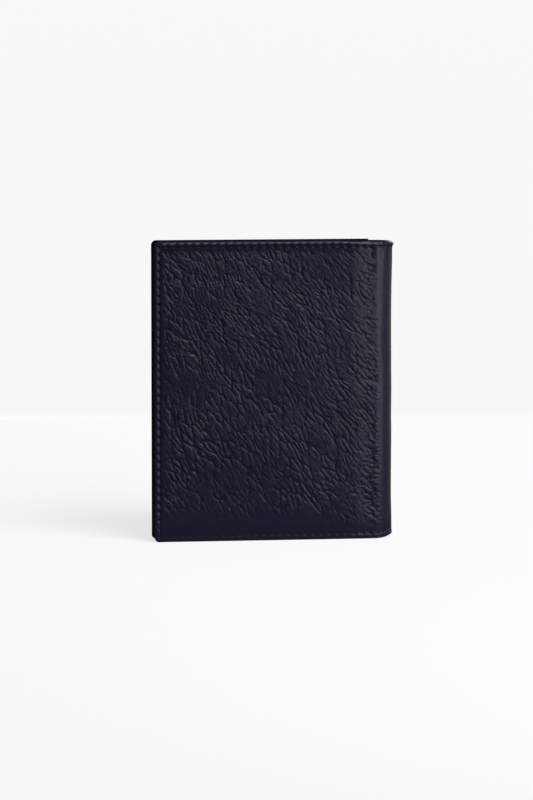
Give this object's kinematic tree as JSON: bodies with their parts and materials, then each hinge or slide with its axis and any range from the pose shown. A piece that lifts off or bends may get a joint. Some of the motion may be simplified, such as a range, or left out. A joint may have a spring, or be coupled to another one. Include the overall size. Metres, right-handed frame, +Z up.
{
  "type": "card holder",
  "caption": "Vertical bifold card holder in pebbled leather, closed: two stitched halves with stepped card pockets and a slip pocket each, joined by a rounded leather fold.",
  "frame": {"origin": "centre of the bottom of the closed holder's bounding box", "axes": "+Z up along the covers' height, +X towards the fold, +Y towards the back cover, -Y the front cover"},
  "size_m": [0.08, 0.012, 0.1],
  "materials": {
    "cover_leather": "pebbled, semi-matte",
    "pocket_leather": "fine grain, semi-matte",
    "woven_lining": "fine twill",
    "board": "matte",
    "filler": "bonded fibre, matte",
    "edge_paint": "satin edge paint",
    "thread": "waxed polyester"
  },
  "bodies": {
    "back": {"back_cover_leather": "cover_leather", "back_board": "board", "back_lining": "woven_lining", "back_slip_panel": "woven_lining", "back_pocket_1": "pocket_leather", "back_pocket_2": "pocket_leather", "back_pocket_3": "pocket_leather", "back_filler_top": "filler", "back_filler_bottom": "filler", "back_filler_side": "filler", "back_card_stops": "filler", "back_edge_coat": "edge_paint", "back_thread": "thread"},
    "spine": {"spine_leather": "cover_leather", "spine_reinforcement": "woven_lining", "spine_lining": "woven_lining", "spine_thread": "thread"},
    "front": {"front_cover_leather": "cover_leather", "front_board": "board", "front_lining": "woven_lining", "front_slip_panel": "woven_lining", "front_pocket_1": "pocket_leather", "front_pocket_2": "pocket_leather", "front_pocket_3": "pocket_leather", "front_filler_top": "filler", "front_filler_bottom": "filler", "front_filler_side": "filler", "front_card_stops": "filler", "front_edge_coat": "edge_paint", "front_thread": "thread"}
  },
  "joints": [
    {"name": "spine_fold", "type": "hinge", "parent": "back", "child": "spine", "pos_m": [0.03836, 0.00436, 0.05], "axis": [0, 0, 1], "range_deg": [0, 90]},
    {"name": "cover_fold", "type": "hinge", "parent": "spine", "child": "front", "pos_m": [0.03836, -0.00436, 0.05], "axis": [0, 0, 1], "range_deg": [0, 90]}
  ],
  "couplings": [
    {"joint": "cover_fold", "follows": "spine_fold", "ratio": 1}
  ]
}
